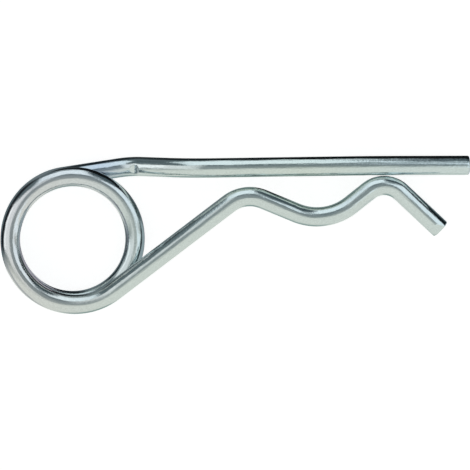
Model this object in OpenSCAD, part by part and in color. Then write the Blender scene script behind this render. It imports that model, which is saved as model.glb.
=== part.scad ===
// Double-coil R clip: one length of round spring wire, bent cold and zinc plated.
// It lies as it comes to rest: on its coil, on the kink of its straight leg and on the tip of its waved leg.

/* [Wire] */
// Diameter of the wire
wire_d = 5; // [3:0.1:6]
// Rounding that tumbling leaves on the cut ends
end_round = 0.4; // [0.1:0.05:1]

/* [Coil] */
// Inner diameter of the coil
coil_inner_d = 27.2; // [24:0.2:30]
// Gap between one turn and the next
turn_gap = 0.2; // [0.2:0.05:1]
// How much wider than the rest the first turn is bent, at the waved leg
first_turn_spread = 0.4; // [0.1:0.05:1]
// Angle round the coil, from the line of the straight leg, where the first turn stops being wider
spread_end_angle = 155; // [120:5:180]

/* [Straight leg] */
// Height of the straight leg's axis over the coil's centre
leg_height = 18.85; // [18:0.05:22]
// Reach of the straight leg from the coil's centre
leg_reach = 102.4; // [95:0.2:130]
// Place of the kink, where the wire stops running on behind the coil and rises to the level of the waved leg
kink_x = 15; // [14:0.1:18]
// Height of the kink over the coil's centre
kink_height = 18.55; // [18:0.05:19]
// Bend radius of the kink, on the wire's axis
kink_bend_r = 10; // [6:0.5:12]
// Place of the bend where it has reached that level
level_x = 29.5; // [28:0.5:34]
// Dip of the straight leg at that bend
leg_dip = 0.55; // [0.2:0.1:1]
// Bend radius there, on the wire's axis
level_bend_r = 22; // [15:1:30]
// Place where the slight bow past that bend ends in the straight tip
leg_bow_x = 76.5; // [65:0.5:78]
// Bend radius of the bow
leg_bow_r = 1200; // [500:50:1200]

/* [Waved leg] */
// Diameter of the shaft that fills the seat with the legs at rest
shaft_d = 21.4; // [17:0.2:24]
// Place of the shaft's centre along the straight leg
seat_x = 62.9; // [60:0.1:66]
// Bend radius of the seat, on the wire's axis
seat_bend_r = 14.2; // [12:0.2:16]
// Place of the crest between the coil and the seat
hump_x = 45.5; // [42:0.1:47]
// Depth of that crest under the straight leg, axis to axis
hump_depth = 7.9; // [7:0.1:9]
// Bend radius of that crest, on the wire's axis
hump_bend_r = 9; // [7:0.2:11]
// Place of the nose, the crest between the seat and the tail
nose_x = 80.3; // [79:0.1:83]
// Gap between the nose and the straight leg
nose_gap = 0.15; // [0.1:0.05:2]
// Bend radius of the nose, on the wire's axis
nose_bend_r = 6.5; // [4:0.1:8]
// Slope of the tail, away from the straight leg
tail_angle = 43; // [35:1:50]
// Straight length of the tail
tail_length = 14.2; // [8:0.2:20]

/* [Hidden] */
$fn = 96;
// Each bend is this hair thicker or thinner than the wire, and laps into its neighbours by this much,
// so that no two faces of the pieces that make up the wire coincide
hair = 0.02;
lap = 0.1;

wire_r = wire_d / 2;
coil_r = coil_inner_d / 2 + wire_r;
pitch = wire_d + turn_gap;
// The coil is a row of plane bends of about this angle, and the wire has this slope at their ends
coil_step = 30;
lead = atan(pitch * coil_step / 720 / (coil_r * tan(coil_step / 2)));
// Bend radius of the set that starts this slope, where the waved leg meets the coil
lead_bend_r = 30;

// The clip's own frame: x along the straight leg, y from the coil's centre towards it, z to the front
function level(angle) = [cos(angle), sin(angle), 0];
function sloped(angle, slope) = [cos(angle) * cos(slope), sin(angle) * cos(slope), sin(slope)];
function unit(v) = v / norm(v);
function angle_between(a, b) = acos(min(1, max(-1, a * b)));
function bend_reach(a, b, r) = r * tan(angle_between(a, b) / 2);

// A stretch of the wire: [start, heading, side it bends to, angle, bend radius, straight run after it]
function stretch(start, a, b, r, run) =
    let (angle = angle_between(a, b), bent = angle > 0.001)
    [start, a, bent ? unit(b - (a * b) * a) : unit(cross(a, [0, 0, 1])), bent ? angle : 0, r, run];
function axis_point(s, turned) =
    s[0] + s[4] * (sin(turned) * s[1] + (1 - cos(turned)) * s[2]);
function axis_heading(s, turned) = cos(turned) * s[1] + sin(turned) * s[2];
function stretch_end(s) = axis_point(s, s[3]) + s[5] * axis_heading(s, s[3]);

// Stretches from a row of bends, each [heading after it, bend radius, straight run after it]
function stretches(start, heading, bends, i = 0) =
    i == len(bends) ? []
    : let (s = stretch(start, heading, bends[i][0], bends[i][1], bends[i][2]))
      concat([s], stretches(stretch_end(s), bends[i][0], bends, i + 1));

// Heading and length of the straight run from one bend of the waved leg across to the next
function cross_heading(from, to, radii, side) =
    atan2(to.y - from.y, to.x - from.x) + side * asin(radii / norm(to - from));
function cross_run(from, to, radii) = sqrt(pow(norm(to - from), 2) - pow(radii, 2));

// Centres of the bends of the waved leg and of the coil's first turn
nose = [nose_x, leg_height - wire_d - nose_gap - nose_bend_r, 0];
seat = [seat_x, leg_height - wire_r - shaft_d / 2 + seat_bend_r, 0];
hump = [hump_x, leg_height - hump_depth - hump_bend_r, 0];
turn = -first_turn_spread * level(spread_end_angle);
turn_r = coil_r + first_turn_spread;
nose_seat = nose_bend_r + seat_bend_r;
seat_hump = seat_bend_r + hump_bend_r;
hump_turn = hump_bend_r + turn_r;

tail_heading = 180 - tail_angle;
nose_heading = cross_heading(nose, seat, nose_seat, 1);
seat_heading = cross_heading(seat, hump, seat_hump, -1);
hump_heading = cross_heading(hump, turn, hump_turn, 1);
tail_tip = nose + nose_bend_r * level(tail_heading - 90) - tail_length * level(tail_heading);
waved_leg = [
    [level(tail_heading), 0, tail_length],
    [level(nose_heading), nose_bend_r, cross_run(nose, seat, nose_seat)],
    [level(seat_heading), seat_bend_r, cross_run(seat, hump, seat_hump)],
    [level(hump_heading), hump_bend_r, cross_run(hump, turn, hump_turn) - lead_bend_r * sin(lead)],
    [sloped(hump_heading, -lead), lead_bend_r, 0],
];

// The coil runs clockwise and backwards from there, and leaves behind its first turn for the kink
kink = [kink_x, kink_height, 0];
spread_end_heading = spread_end_angle - 90;
leave_heading = atan2(kink.y, kink.x) + acos(coil_r / norm(kink)) - 90;
function coil_bends(heading, sweep, r) =
    let (n = ceil(sweep / coil_step), step = sweep / n, tilt = atan(tan(lead) / cos(step / 2)))
    [for (i = [1 : n]) [sloped(heading - i * step, -lead), r / cos(tilt) / cos(lead), 0]];
coil = concat(
    coil_bends(hump_heading, (hump_heading - spread_end_heading + 720) % 360, turn_r),
    coil_bends(spread_end_heading, spread_end_heading - leave_heading + 360, coil_r));
waved_leg_and_coil = stretches(tail_tip, level(tail_heading), concat(waved_leg, coil));

// The wire runs straight on behind the first turn, to the kink
leave = stretch_end(waved_leg_and_coil[len(waved_leg_and_coil) - 1]);
leave_way = sloped(leave_heading, -lead);
kink_corner = leave + norm([kink_x - leave.x, kink_height - leave.y]) / cos(lead) * leave_way;

// Straight leg: round the kink, up to the level of the waved leg, and through the slight bow to the tip
function corner_bends(corners, radii) =
    let (n = len(radii), ways = [for (i = [0 : n]) unit(corners[i + 1] - corners[i])],
         reaches = [for (i = [0 : n]) i == n ? 0 : bend_reach(ways[i], ways[i + 1], radii[i])])
    concat([[ways[0], 0, norm(corners[1] - corners[0]) - reaches[0]]],
           [for (i = [1 : n])
               [ways[i], radii[i - 1], norm(corners[i + 1] - corners[i]) - reaches[i - 1] - reaches[i]]]);
straight_leg = corner_bends(
    [leave, kink_corner, [level_x, leg_height - leg_dip, 0],
     [leg_bow_x, leg_height, 0], [leg_reach, leg_height, 0]],
    [kink_bend_r, level_bend_r, leg_bow_r]);
wire = concat(waved_leg_and_coil, stretches(leave, leave_way, straight_leg));

// Points along the wire's axis, each with the wire's heading, and the centre of mass
steps = 8;
axis = [for (s = wire) each
    [for (k = [0 : steps]) [axis_point(s, s[3] * k / steps), axis_heading(s, s[3] * k / steps)]],
    [stretch_end(wire[len(wire) - 1]), [1, 0, 0]]];
lengths = [for (i = [1 : len(axis) - 1]) norm(axis[i][0] - axis[i - 1][0])];
middles = [for (i = [1 : len(axis) - 1]) (axis[i][0] + axis[i - 1][0]) / 2];
mass_centre = lengths * middles / (lengths * [for (l = lengths) 1]);

// The clip rests on three points: their plane has the rest of it above and the centre of mass over it.
// The search starts from a wide triangle far above and takes in the lowest point until none is lower.
function keeps_left(a, b) = (b.x - a.x) * (mass_centre.y - a.y) > (b.y - a.y) * (mass_centre.x - a.x);
function carries(a, b, c) = keeps_left(a, b) && keeps_left(b, c) && keeps_left(c, a);
function rest_way(a, b, c) =
    let (way = unit(cross(b - a, c - a)), heights = [for (p = axis) (p[0] - a) * way],
         low = min(heights), p = axis[search(low, heights)[0]][0])
    low > -0.001 ? way
    : carries(p, b, c) ? rest_way(p, b, c)
    : carries(a, p, c) ? rest_way(a, p, c)
    : rest_way(a, b, p);
far = 1000;
up = rest_way([-far, -far, far], [far, -far, far], [0, far, far]);
ahead = unit([1, 0, 0] - up.x * up);
across = cross(up, ahead);

// The part's frame: z up from the surface it rests on, x along the straight leg, 0 at the middle
function reach(way) = max([for (p = axis) p[0] * way + wire_r * sqrt(max(0, 1 - pow(p[1] * way, 2)))]);
middle = [(reach(ahead) - reach(-ahead)) / 2, (reach(across) - reach(-across)) / 2, -reach(-up)];

module lying() {
    multmatrix([concat(ahead, -middle.x), concat(across, -middle.y), concat(up, -middle.z), [0, 0, 0, 1]])
        children();
}

// Places what runs along z and bends towards x
module from(point, way, side) {
    y = cross(way, side);
    multmatrix([[side.x, y.x, way.x, point.x], [side.y, y.y, way.y, point.y],
                [side.z, y.z, way.z, point.z], [0, 0, 0, 1]])
        children();
}

module bend(r, angle, section_r) {
    over = lap / r * 180 / PI;
    translate([r, 0, 0]) rotate([90, 0, 0])
        rotate_extrude(angle = angle + 2 * over, start = 180 - angle - over)
            translate([r, 0]) circle(section_r);
}

// The straight end of a leg, with the edge of its cut rounded
module leg_end(length) {
    rotate_extrude() {
        square([wire_r, length - end_round]);
        square([wire_r - end_round, length]);
        translate([wire_r - end_round, length - end_round]) circle(end_round);
    }
}

module clip() {
    color([0.74, 0.77, 0.77]) lying() {
        for (i = [1 : len(wire) - 1]) {
            s = wire[i];
            way = axis_heading(s, s[3]);
            side = cross(cross(s[1], s[2]), way);
            if (s[3] > 0) from(s[0], s[1], s[2]) bend(s[4], s[3], wire_r + (i % 2 == 0 ? hair : -hair));
            if (s[5] > 0) from(axis_point(s, s[3]), way, side)
                if (i < len(wire) - 1) cylinder(r = wire_r, h = s[5]);
                else leg_end(s[5]);
        }
        from(stretch_end(wire[0]), -wire[0][1], wire[0][2]) leg_end(tail_length);
    }
}

clip();
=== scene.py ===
import math

import bpy
import numpy as np
from mathutils import Matrix, Vector


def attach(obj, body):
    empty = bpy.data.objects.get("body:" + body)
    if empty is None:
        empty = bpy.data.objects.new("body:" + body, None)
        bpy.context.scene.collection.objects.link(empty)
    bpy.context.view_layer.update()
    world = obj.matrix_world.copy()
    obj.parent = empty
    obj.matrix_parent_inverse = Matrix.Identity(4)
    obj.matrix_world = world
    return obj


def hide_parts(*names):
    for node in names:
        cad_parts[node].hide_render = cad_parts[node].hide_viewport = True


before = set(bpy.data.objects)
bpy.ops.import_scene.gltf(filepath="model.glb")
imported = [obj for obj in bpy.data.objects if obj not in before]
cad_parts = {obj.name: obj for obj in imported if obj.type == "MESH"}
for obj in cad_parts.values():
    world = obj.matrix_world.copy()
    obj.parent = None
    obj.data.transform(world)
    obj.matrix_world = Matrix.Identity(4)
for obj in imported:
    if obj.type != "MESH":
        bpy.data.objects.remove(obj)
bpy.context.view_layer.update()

# The camera looks down from 0.8 m, a few degrees off upright, on the clip as it lies. The straight
# leg runs along the frame.
mm = 0.001
eye = Vector((5.757, -49.989, 805.309)) * mm
aim = Vector((-0.131, -0.392, 6.87)) * mm
camera_up = Vector((0.0099, 0.998, 0.0619))
back = (eye - aim).normalized()
right = camera_up.cross(back).normalized()
facing = Matrix((right, back.cross(right), back)).transposed()
camera = bpy.data.objects.new("camera", bpy.data.cameras.new("camera"))
camera.matrix_world = Matrix.Translation(eye) @ facing.to_4x4()
camera.data.sensor_width = 36
camera.data.lens = 237.75
camera.data.clip_start = 0.05
bpy.context.scene.collection.objects.link(camera)
bpy.context.scene.camera = camera
bpy.context.scene.view_settings.view_transform = "Standard"

# The clip: one length of spring steel wire, 5 mm thick, drawn through a die, bent cold round pins
# into two legs and a coil, its cut ends tumbled, and then zinc plated and passivated. These sizes,
# in millimetres and degrees, give the line of its axis: plane bends, each tangent to the next.
wire_d = 5.0
end_round = 0.4
coil_inner_d = 27.2
turn_gap = 0.2
first_turn_spread = 0.4
spread_end_angle = 155
leg_height = 18.85
leg_reach = 102.4
kink_x = 15.0
kink_height = 18.55
kink_bend_r = 10
level_x = 29.5
leg_dip = 0.55
level_bend_r = 22
leg_bow_x = 76.5
leg_bow_r = 1200
shaft_d = 21.4
seat_x = 62.9
seat_bend_r = 14.2
hump_x = 45.5
hump_depth = 7.9
hump_bend_r = 9
nose_x = 80.3
nose_gap = 0.15
nose_bend_r = 6.5
tail_angle = 43
tail_length = 14.2
lead_bend_r = 30
coil_step = 30
wire_r = wire_d / 2
coil_r = coil_inner_d / 2 + wire_r
pitch = wire_d + turn_gap
rad, deg = math.radians, math.degrees

# The coil's slope: each of its bends climbs its share of the pitch over the length of its two tangents
lead = deg(math.atan(pitch * coil_step / 360 / (2 * coil_r * math.tan(rad(coil_step / 2)))))


def heading(angle, slope=0):
    """The direction at this angle in the clip's plane, and at this slope out of it."""
    a, s = rad(angle), rad(slope)
    return np.array([math.cos(a) * math.cos(s), math.sin(a) * math.cos(s), math.sin(s)])


def unit(v):
    return v / np.linalg.norm(v)


def bend_angle(a, b):
    return math.acos(min(1.0, max(-1.0, float(a @ b))))


def bend_reach(a, b, r):
    """How far a bend of radius r takes up the runs on both sides of its corner."""
    return r * math.tan(bend_angle(a, b) / 2)


def bend(start, a, b, r, run, least=2e-5):
    """A bend of radius r from direction a to b, and the straight run after it.

    An angle of no more than least, in radians, isn't a bend.
    """
    angle = bend_angle(a, b)
    if angle <= least:
        return {"start": start, "way": a, "side": np.zeros(3), "angle": 0.0, "r": r, "run": run}
    return {"start": start, "way": a, "side": unit(b - (a @ b) * a), "angle": angle, "r": r, "run": run}


def bend_point(s, t):
    return s["start"] + s["r"] * (math.sin(t) * s["way"] + (1 - math.cos(t)) * s["side"])


def bend_way(s, t):
    return math.cos(t) * s["way"] + math.sin(t) * s["side"]


def bend_end(s):
    return bend_point(s, s["angle"]) + s["run"] * bend_way(s, s["angle"])


def bends(start, way, rows):
    """A chain of bends. Each row is the direction after a bend, its radius and the run after it."""
    chain = []
    for after, r, run in rows:
        chain.append(bend(start, way, after, r, run))
        start, way = bend_end(chain[-1]), after
    return chain


def cross_heading(a, b, radii, side):
    """The heading of the run that crosses over from a bend round a to one the other way round b."""
    d = b - a
    return deg(math.atan2(d[1], d[0])) + side * deg(math.asin(radii / np.linalg.norm(d)))


def cross_run(a, b, radii):
    """The length of that run."""
    return math.sqrt(np.linalg.norm(b - a) ** 2 - radii**2)


# The waved leg, from the cut end of its tail to the coil: nose, seat for the shaft, hump, long run
nose = np.array([nose_x, leg_height - wire_d - nose_gap - nose_bend_r, 0])
seat = np.array([seat_x, leg_height - wire_r - shaft_d / 2 + seat_bend_r, 0])
hump = np.array([hump_x, leg_height - hump_depth - hump_bend_r, 0])
first_turn = -first_turn_spread * heading(spread_end_angle)
first_turn_r = coil_r + first_turn_spread
tail_heading = 180 - tail_angle
nose_heading = cross_heading(nose, seat, nose_bend_r + seat_bend_r, 1)
seat_heading = cross_heading(seat, hump, seat_bend_r + hump_bend_r, -1)
hump_heading = cross_heading(hump, first_turn, hump_bend_r + first_turn_r, 1)
nose_run = cross_run(nose, seat, nose_bend_r + seat_bend_r)
seat_run = cross_run(seat, hump, seat_bend_r + hump_bend_r)
hump_run = cross_run(hump, first_turn, hump_bend_r + first_turn_r) - lead_bend_r * math.sin(rad(lead))
tail_tip = nose + nose_bend_r * heading(tail_heading - 90) - tail_length * heading(tail_heading)
waved_leg = [
    (heading(tail_heading), 0, tail_length),
    (heading(nose_heading), nose_bend_r, nose_run),
    (heading(seat_heading), seat_bend_r, seat_run),
    (heading(hump_heading), hump_bend_r, hump_run),
    (heading(hump_heading, -lead), lead_bend_r, 0),
]

# The coil: a little over one and a half turns, which go down from the waved leg. The start of its
# upper turn is spread, so that the lower turn shows inside it.
kink = np.array([kink_x, kink_height, 0])
spread_end_heading = spread_end_angle - 90
leave_heading = deg(math.atan2(kink[1], kink[0])) + deg(math.acos(coil_r / np.linalg.norm(kink))) - 90


def coil_bends(start_heading, sweep, r):
    """A stretch of the coil, as plane bends of equal angle that climb like a screw thread."""
    n = math.ceil(sweep / coil_step)
    step = sweep / n
    tilt = math.atan(math.tan(rad(lead)) / math.cos(rad(step / 2)))
    bend_r = r / math.cos(tilt) / math.cos(rad(lead))
    return [(heading(start_heading - i * step, -lead), bend_r, 0) for i in range(1, n + 1)]


coil = coil_bends(hump_heading, (hump_heading - spread_end_heading) % 360, first_turn_r)
coil += coil_bends(spread_end_heading, spread_end_heading - leave_heading + 360, coil_r)
wire = bends(tail_tip, heading(tail_heading), waved_leg + coil)

# The straight leg: the kink, a slight dip behind it, and a very slight bow
leave = bend_end(wire[-1])
leave_way = heading(leave_heading, -lead)
kink_run = math.hypot(kink_x - leave[0], kink_height - leave[1]) / math.cos(rad(lead))
corners = [leave, leave + kink_run * leave_way, np.array([level_x, leg_height - leg_dip, 0]),
           np.array([leg_bow_x, leg_height, 0]), np.array([leg_reach, leg_height, 0])]
corner_radii = [0, kink_bend_r, level_bend_r, leg_bow_r]
ways = [unit(b - a) for a, b in zip(corners, corners[1:])]
reaches = [0] + [bend_reach(a, b, r) for a, b, r in zip(ways, ways[1:], corner_radii[1:])] + [0]
lengths = [np.linalg.norm(b - a) for a, b in zip(corners, corners[1:])]
runs = [length - before - after for length, before, after in zip(lengths, reaches, reaches[1:])]
wire += bends(leave, leave_way, zip(ways, corner_radii, runs))

# How it lies: on the three points of its underside that carry its centre of mass. The search starts
# from a wide triangle far above it. The lowest point of the axis replaces the corner whose loss keeps
# the centre of mass inside, until no point lies lower than the triangle.
parts_per_bend = 8
far_away, touch = 1000, 0.001
axis_points, axis_ways = [], []
for s in wire:
    for k in range(parts_per_bend + 1):
        axis_points.append(bend_point(s, s["angle"] * k / parts_per_bend))
        axis_ways.append(bend_way(s, s["angle"] * k / parts_per_bend))
axis_points = np.array(axis_points + [bend_end(wire[-1])])
axis_ways = np.array(axis_ways + [ways[-1]])
weights = np.linalg.norm(np.diff(axis_points, axis=0), axis=1)
mass_centre = (weights[:, None] * (axis_points[1:] + axis_points[:-1]) / 2).sum(0) / weights.sum()


def holds_mass(corners):
    """Whether the triangle, seen from above, has the centre of mass inside it."""
    return all((b[0] - a[0]) * (mass_centre[1] - a[1]) > (b[1] - a[1]) * (mass_centre[0] - a[0])
               for a, b in zip(corners, corners[1:] + corners[:1]))


feet = [far_away * np.array(p) for p in ((-1.0, -1.0, 1.0), (1.0, -1.0, 1.0), (0.0, 1.0, 1.0))]
while True:
    up = unit(np.cross(feet[1] - feet[0], feet[2] - feet[0]))
    heights = (axis_points - feet[0]) @ up
    if heights.min() > -touch:
        break
    lowest = axis_points[heights.argmin()]
    feet = next(new for new in (feet[:k] + [lowest] + feet[k + 1:] for k in range(3)) if holds_mass(new))
ahead = unit(np.array([1, 0, 0]) - up[0] * up)
across = np.cross(up, ahead)


def reach(way):
    """How far the wire reaches in this direction."""
    return (axis_points @ way + wire_r * np.sqrt(np.maximum(0, 1 - (axis_ways @ way) ** 2))).max()


lying = np.array([ahead, across, up])
shift = -np.array([(reach(ahead) - reach(-ahead)) / 2, (reach(across) - reach(-across)) / 2, -reach(-up)])

# Points along the axis, closer at the kink and along the tail, where the wire is marked
wide_step, close_step, least_run = 0.5, 0.15, 1e-6
kink_bend = next(s for s in wire if s["r"] == kink_bend_r)
points = [wire[0]["start"]]
for s in wire:
    step = close_step if s is kink_bend or s is wire[0] else wide_step
    if s["angle"]:
        n = math.ceil(s["angle"] * s["r"] / step)
        points += [bend_point(s, s["angle"] * k / n) for k in range(1, n + 1)]
    if s["run"] > least_run:
        n = math.ceil(s["run"] / step)
        run_start, run_way = bend_point(s, s["angle"]), bend_way(s, s["angle"])
        points += [run_start + s["run"] * k / n * run_way for k in range(1, n + 1)]

# The tumbled ends: the wire narrows round the edge of each cut, in seven rings of points
along = np.concatenate([[0], np.cumsum(np.linalg.norm(np.diff(points, axis=0), axis=1))])
length = along[-1]
cut = end_round * (1 - np.cos(np.radians(np.linspace(0, 90, 7))))
between = along[(along > 2 * end_round) & (along < length - 2 * end_round)]
places = np.concatenate([cut, between, length - cut[::-1]])
from_end = np.minimum(np.minimum(places, length - places), end_round)
thickness = 1 - end_round / wire_r * (1 - np.sqrt(1 - (1 - from_end / end_round) ** 2))
route = np.stack([np.interp(places, along, np.array(points)[:, k]) for k in range(3)], 1)
route = (route @ lying.T + shift) * mm

line = bpy.data.meshes.new("clip_axis")
line.from_pydata(route.tolist(), [(i, i + 1) for i in range(len(route) - 1)], [])
line.attributes.new("thickness", "FLOAT", "POINT").data.foreach_set("value", thickness)
clip = bpy.data.objects.new("clip_wire", line)
bpy.context.scene.collection.objects.link(clip)
sides = 72
tree = bpy.data.node_groups.new("wire_along_axis", "GeometryNodeTree")
for name, kind in (("Geometry", "Geometry"), ("Wire radius", "Float"), ("Sides", "Int"),
                   ("Material", "Material")):
    tree.interface.new_socket(name, in_out="INPUT", socket_type="NodeSocket" + kind)
tree.interface.new_socket("Geometry", in_out="OUTPUT", socket_type="NodeSocketGeometry")


def add(nodes, kind, settings=None, **links):
    """Adds a node, with its settings, and with values or sockets for its inputs.

    An input goes by its name, or by i and its number where two inputs share a name.
    """
    node = nodes.nodes.new(kind)
    for key, value in (settings or {}).items():
        setattr(node, key, value)
    for key, value in links.items():
        socket = node.inputs[int(key[1:]) if key[1:].isdigit() else key.replace("_", " ")]
        if isinstance(value, bpy.types.NodeSocket):
            nodes.links.new(value, socket)
        else:
            socket.default_value = value
    return node


given = add(tree, "NodeGroupInput")
curve = add(tree, "GeometryNodeMeshToCurve", Mesh=given.outputs["Geometry"])
round_wire = add(tree, "GeometryNodeCurvePrimitiveCircle",
                 Resolution=given.outputs["Sides"], Radius=given.outputs["Wire radius"])
scale = add(tree, "GeometryNodeInputNamedAttribute", Name="thickness")
swept = add(tree, "GeometryNodeCurveToMesh", Curve=curve.outputs[0], Profile_Curve=round_wire.outputs[0],
            Scale=scale.outputs["Attribute"], Fill_Caps=True)
smooth = add(tree, "GeometryNodeSetShadeSmooth", Geometry=swept.outputs[0])
solid = add(tree, "GeometryNodeRealizeInstances", Geometry=smooth.outputs[0])
dressed = add(tree, "GeometryNodeSetMaterial",
              Geometry=solid.outputs[0], Material=given.outputs["Material"])
add(tree, "NodeGroupOutput", Geometry=dressed.outputs[0])


def srgb(code):
    """The linear colour of an sRGB hex code."""
    parts = [int(code[i:i + 2], 16) / 255 for i in (1, 3, 5)]
    return (*[c / 12.92 if c <= 0.04045 else ((c + 0.055) / 1.055) ** 2.4 for c in parts], 1)


# Bright zinc with a clear blue passivate. The die's lines along the wire show through the plating,
# which is a little sandy. Both are finer on real wire, and are drawn as coarse as they need to be to
# show. The tint drifts from a cold green blue on the legs to plain silver on the coil, and is darker
# and bluer on the stretch that leaves the coil for the straight leg.
lines_per_mm, line_depth, line_squeeze = 1.7, 0.05, 0.09
grains_per_mm, grain_depth, grain_squeeze = 2.8, 0.02, 0.6
sand_range = {"From_Min": 0.3, "From_Max": 0.7}
darkest, brightest = 0.93, 1.04
roughest, smoothest = 0.13, 0.08
tints = ((0, "#dde6e6"), (0.27, "#dee6e4"), (0.34, "#e2e3e2"), (0.4, "#e2e3e5"), (0.45, "#dfe3e5"),
         (0.5, "#dbe4e4"), (0.7, "#dbe4e6"), (0.735, "#c7d1de"), (0.76, "#dde6e6"), (0.88, "#dde6e1"),
         (0.95, "#dce7e8"))
zinc = bpy.data.materials.new("bright_zinc_on_drawn_wire")
zinc.use_nodes = True
nodes = zinc.node_tree
plating = nodes.nodes["Principled BSDF"]
on_wire = add(nodes, "ShaderNodeAttribute", {"attribute_name": "wire_place"})
drawn = add(nodes, "ShaderNodeVectorMath", {"operation": "MULTIPLY"},
            i0=on_wire.outputs["Vector"], i1=(1, 1, line_squeeze))
die_lines = add(nodes, "ShaderNodeTexNoise",
                Vector=drawn.outputs[0], Scale=lines_per_mm, Detail=2, Roughness=0.5)
sanded = add(nodes, "ShaderNodeVectorMath", {"operation": "MULTIPLY"},
             i0=on_wire.outputs["Vector"], i1=(1, 1, grain_squeeze))
sand = add(nodes, "ShaderNodeTexNoise",
           Vector=sanded.outputs[0], Scale=grains_per_mm, Detail=2, Roughness=0.7)
place_along = add(nodes, "ShaderNodeSeparateXYZ", Vector=on_wire.outputs["Vector"])
share = add(nodes, "ShaderNodeMapRange", Value=place_along.outputs["Z"], From_Min=0, From_Max=length)
tint = add(nodes, "ShaderNodeValToRGB", Fac=share.outputs[0])
# A new ramp has its first two stops already
for k, (position, code) in enumerate(tints):
    stop = tint.color_ramp.elements[k] if k < 2 else tint.color_ramp.elements.new(position)
    stop.position = position
    stop.color = srgb(code)
speckle = add(nodes, "ShaderNodeMapRange",
              Value=sand.outputs["Fac"], **sand_range, To_Min=darkest, To_Max=brightest)
colour = add(nodes, "ShaderNodeVectorMath", {"operation": "SCALE"},
             i0=tint.outputs[0], Scale=speckle.outputs[0])
rough = add(nodes, "ShaderNodeMapRange",
            Value=sand.outputs["Fac"], **sand_range, To_Min=roughest, To_Max=smoothest)
lines = add(nodes, "ShaderNodeBump", Distance=line_depth * mm, Height=die_lines.outputs["Fac"])
grains = add(nodes, "ShaderNodeBump",
             Distance=grain_depth * mm, Height=sand.outputs["Fac"], Normal=lines.outputs[0])
nodes.links.new(colour.outputs[0], plating.inputs["Base Color"])
nodes.links.new(rough.outputs[0], plating.inputs["Roughness"])
nodes.links.new(grains.outputs[0], plating.inputs["Normal"])
plating.inputs["Metallic"].default_value = 1

# The wire is swept along its axis. Its side is smooth, and the caps of its cut ends are flat.
sweep = clip.modifiers.new("sweep", "NODES")
sweep.node_group = tree
for name, value in (("Wire radius", wire_r * mm), ("Sides", sides), ("Material", zinc)):
    sweep[tree.interface.items_tree[name].identifier] = value
made = bpy.data.meshes.new_from_object(clip.evaluated_get(bpy.context.evaluated_depsgraph_get()))
clip.modifiers.clear()
clip.data = made
for face in made.polygons:
    face.use_smooth = len(face.vertices) == 4

# Each point's place on the wire, in millimetres: round it, and along it
place = np.zeros((len(made.vertices), 3), np.float32)
turned = np.arange(len(place)) % sides * 2 * math.pi / sides
place[:, 0], place[:, 1] = wire_r * np.cos(turned), wire_r * np.sin(turned)
place[:, 2] = np.repeat(places, sides)
made.attributes.new("wire_place", "FLOAT_VECTOR", "POINT").data.foreach_set("vector", place.ravel())
spots = np.zeros(len(place) * 3)
made.vertices.foreach_get("co", spots)
spots = spots.reshape(-1, 3)

# The mark of the pin that the kink was bent round: a groove across its inside, near its end
pin_r, pin_depth, pin_share = 2.0, 0.35, 0.88
pressed = bend_point(kink_bend, kink_bend["angle"] * pin_share)
inwards = unit(kink_bend["start"] + kink_bend["r"] * kink_bend["side"] - pressed)
pin = (lying @ (pressed + (wire_r - pin_depth + pin_r) * inwards) + shift) * mm
pin_way = lying @ np.cross(kink_bend["way"], kink_bend["side"])
from_pin = spots - pin
from_pin -= np.outer(from_pin @ pin_way, pin_way)
far = np.linalg.norm(from_pin, axis=1)
inside = far < pin_r * mm
spots[inside] += from_pin[inside] * (pin_r * mm / far[inside] - 1)[:, None]

# The shear that cut the wire pressed a flat on top of the tail's end, sloping down to the cut
flat_depth, flat_slope, flat_lean, flat_reach = 0.45, 13, 8, 4
endwards = -lying @ wire[0]["way"]
wire_top = unit(np.array([0, 0, 1]) - endwards[2] * endwards)
sideways = np.cross(endwards, wire_top)
flat_way = unit(wire_top + math.sin(rad(flat_slope)) * endwards + math.sin(rad(flat_lean)) * sideways)
flat_edge = route[0] + (wire_r - flat_depth) * mm * wire_top
above = np.where(place[:, 2] < flat_reach, np.maximum(0, (spots - flat_edge) @ flat_way), 0)
spots -= np.outer(above, flat_way)
made.vertices.foreach_set("co", spots.ravel())
made.update()
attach(clip, "root")
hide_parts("clip")

# The floor: a sheet of white paper, matt, which keeps the clip's shadow. The plating mirrors the
# light tent in its stead.
floor_half = 3000 * mm
white, seen_light = 0.8, 0.8
floor_mesh = bpy.data.meshes.new("floor")
floor_corners = [(x * floor_half, y * floor_half, 0) for x, y in ((-1, -1), (1, -1), (1, 1), (-1, 1))]
floor_mesh.from_pydata(floor_corners, [], [range(4)])
floor = bpy.data.objects.new("floor", floor_mesh)
bpy.context.scene.collection.objects.link(floor)
floor.visible_glossy = False


def bare_material(name):
    """A material without nodes, to be given its own."""
    material = bpy.data.materials.new(name)
    material.use_nodes = True
    material.node_tree.nodes.clear()
    return material


paper = bare_material("white_paper")
nodes = paper.node_tree
matt = add(nodes, "ShaderNodeBsdfDiffuse", Color=(white, white, white, 1))
glow = add(nodes, "ShaderNodeEmission", Color=(1, 1, 1, 1), Strength=seen_light)
both = add(nodes, "ShaderNodeAddShader", i0=matt.outputs[0], i1=glow.outputs[0])
ray = add(nodes, "ShaderNodeLightPath")
seen = add(nodes, "ShaderNodeMixShader",
           Fac=ray.outputs["Is Camera Ray"], i1=matt.outputs[0], i2=both.outputs[0])
add(nodes, "ShaderNodeOutputMaterial", Surface=seen.outputs[0])
floor_mesh.materials.append(paper)
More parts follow.
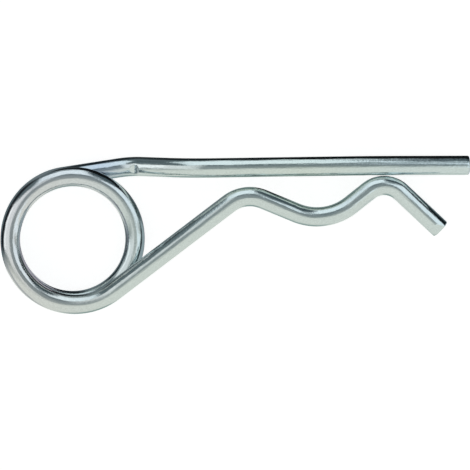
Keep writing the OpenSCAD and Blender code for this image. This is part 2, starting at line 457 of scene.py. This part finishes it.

# Painted light and shade of the paper, for the wire to mirror: glowing patches drawn just above it,
# a light one in the eye of the coil and darker ones, painted shade, between the legs. Only the undercut
# sides of the wire mirror them.
painted_patch_height = 0.3
for name, outline, code in (
    ("painted_light_on_paper_in_eye", ((-54, -5), (-50.2, -10.6), (-46, -9), (-43, -4), (-49, 1)), "#b0acb6"),
    ("painted_shade_on_paper_at_hump", ((-7, 12), (6, 12), (6, 23), (-7, 23)), "#80928f"),
    ("painted_shade_on_paper_at_seat", ((15.5, 5), (34, 5), (34, 21), (15.5, 21)), "#80928f"),
):
    painted_patch_mesh = bpy.data.meshes.new(name)
    painted_patch_mesh.from_pydata([(x * mm, y * mm, painted_patch_height * mm) for x, y in outline], [], [range(len(outline))])
    painted_patch = bpy.data.objects.new(name, painted_patch_mesh)
    bpy.context.scene.collection.objects.link(painted_patch)
    painted_patch.visible_camera = painted_patch.visible_diffuse = False
    painted_patch.visible_shadow = painted_patch.visible_transmission = False
    painted_patch_glow = bare_material(name)
    # Each patch glows in its own colour: painted light in the eye, painted shade between the legs.
    glow = add(painted_patch_glow.node_tree, "ShaderNodeEmission", Color=srgb(code), Strength=1)
    add(painted_patch_glow.node_tree, "ShaderNodeOutputMaterial", Surface=glow.outputs[0])
    painted_patch_mesh.materials.append(painted_patch_glow)

# The light tent: grey cloth with white panels and dark gaps, all round the clip. Only reflections see
# it. It is drawn on a flat map, where each place lies as many units from the middle as it is degrees
# from straight up, in the direction that it has seen from above.
tent_r, tent_height, tent_light = 400, 6, 1.3
bpy.ops.mesh.primitive_ico_sphere_add(subdivisions=5, radius=tent_r * mm, location=(0, 0, tent_height * mm))
tent = bpy.context.object
tent.name = "light_tent"
tent.data.shade_smooth()
tent.visible_camera = tent.visible_diffuse = tent.visible_shadow = tent.visible_transmission = False
tent_cloth = bare_material("tent_cloth")
nodes = tent_cloth.node_tree
where = add(nodes, "ShaderNodeTexCoord")
way = add(nodes, "ShaderNodeVectorMath", {"operation": "NORMALIZE"}, i0=where.outputs["Object"])
height = add(nodes, "ShaderNodeSeparateXYZ", Vector=way.outputs[0])
off_top = add(nodes, "ShaderNodeMath", {"operation": "ARCCOSINE"}, i0=height.outputs["Z"])
off_top = add(nodes, "ShaderNodeMath", {"operation": "MULTIPLY"}, i0=off_top.outputs[0], i1=deg(1))
flat = add(nodes, "ShaderNodeVectorMath", {"operation": "MULTIPLY"}, i0=way.outputs[0], i1=(1, 1, 0))
flat = add(nodes, "ShaderNodeVectorMath", {"operation": "NORMALIZE"}, i0=flat.outputs[0])
tent_map = add(nodes, "ShaderNodeVectorMath", {"operation": "SCALE"},
               i0=flat.outputs[0], Scale=off_top.outputs[0])
cloth = add(nodes, "ShaderNodeRGB")
cloth.outputs[0].default_value = srgb("#566266")
shade = cloth.outputs[0]
# Name, middle, size, turn, soft edge and colour. A later panel covers an earlier one.
panels = (
    ("room_left", (-91, 29), (32, 84), -18, 10, "#14171a"),
    ("room_left_up", (-79, 54), (42, 70), -22, 16, "#1c2226"),
    ("room_behind", (10, 136), (180, 88), 0, 10, "#1e2426"),
    ("room_behind_left", (-92, 124), (96, 80), 0, 26, "#667074"),
    ("room_up_right", (47, 86), (44, 110), 43, 9, "#0c1011"),
    ("room_far_right", (116, 10), (80, 46), 0, 20, "#8d989d"),
    ("room_right_dark", (87, 46), (46, 48), -4, 10, "#10181b"),
    ("left_side", (-40, 6), (66, 46), -10, 10, "#d2d5d6"),
    ("left_edge", (-62, 8), (16, 36), -10, 8, "#eef1f2"),
    ("right_side", (45, 15), (44, 42), 28, 10, "#d8e2e8"),
    ("top_box_left", (-15, 52), (32, 46), 24, 8, "#d1dbe0"),
    ("top_box", (1, 57), (38, 52), 8, 14, "#dbe5ea"),
    ("top_shade", (34.5, 58), (34, 30), 5, 6, "#414d52"),
    ("sweep", (-4, -103), (310, 174), 8, 36, "#cbcec9"),
    ("sweep_low", (-8, -146), (110, 50), 0, 36, "#80928f"),
    ("sweep_far_right", (118, -34), (66, 92), 0, 12, "#8a979c"),
    ("sweep_left", (-90, -64), (20, 86), 10, 22, "#8f9499"),
    ("streak_right", (58, -17), (70, 14), 0, 4, "#d8e2e6"),
    ("camera_gap", (3, 4), (30, 28), 14, 30, "#868e90"),
)
for name, middle, size, turned_by, soft, code in panels:
    on_panel = add(nodes, "ShaderNodeVectorMath", {"operation": "SUBTRACT", "label": name},
                   i0=tent_map.outputs[0], i1=(*middle, 0))
    on_panel = add(nodes, "ShaderNodeVectorRotate", {"rotation_type": "Z_AXIS"},
                   Vector=on_panel.outputs[0], Angle=rad(-turned_by))
    on_panel = add(nodes, "ShaderNodeVectorMath", {"operation": "ABSOLUTE"}, i0=on_panel.outputs[0])
    on_panel = add(nodes, "ShaderNodeSeparateXYZ", Vector=on_panel.outputs[0])
    edges = [add(nodes, "ShaderNodeMapRange", {"interpolation_type": "SMOOTHSTEP"},
                 Value=on_panel.outputs[k], From_Min=(size[k] - soft) / 2, From_Max=(size[k] + soft) / 2,
                 To_Min=1, To_Max=0) for k in (0, 1)]
    covered = add(nodes, "ShaderNodeMath", {"operation": "MULTIPLY"},
                  i0=edges[0].outputs[0], i1=edges[1].outputs[0])
    mixed = add(nodes, "ShaderNodeMix", {"data_type": "RGBA"},
                i0=covered.outputs[0], i6=shade, i7=srgb(code))
    shade = mixed.outputs[2]
light = add(nodes, "ShaderNodeEmission", Color=shade, Strength=tent_light)
add(nodes, "ShaderNodeOutputMaterial", Surface=light.outputs[0])
tent.data.materials.append(tent_cloth)

# The studio: plain, soft white light from all sides, dim enough for the floor to be just white. The
# camera sees it as full white.
studio_light = 0.3
studio = bpy.data.worlds.new("studio")
bpy.context.scene.world = studio
studio.use_nodes = True
nodes = studio.node_tree
nodes.nodes.clear()
ray = add(nodes, "ShaderNodeLightPath")
level = add(nodes, "ShaderNodeMapRange", Value=ray.outputs["Is Camera Ray"], To_Min=studio_light, To_Max=1)
sky_light = add(nodes, "ShaderNodeBackground", Color=(1, 1, 1, 1), Strength=level.outputs[0])
add(nodes, "ShaderNodeOutputWorld", Surface=sky_light.outputs[0])
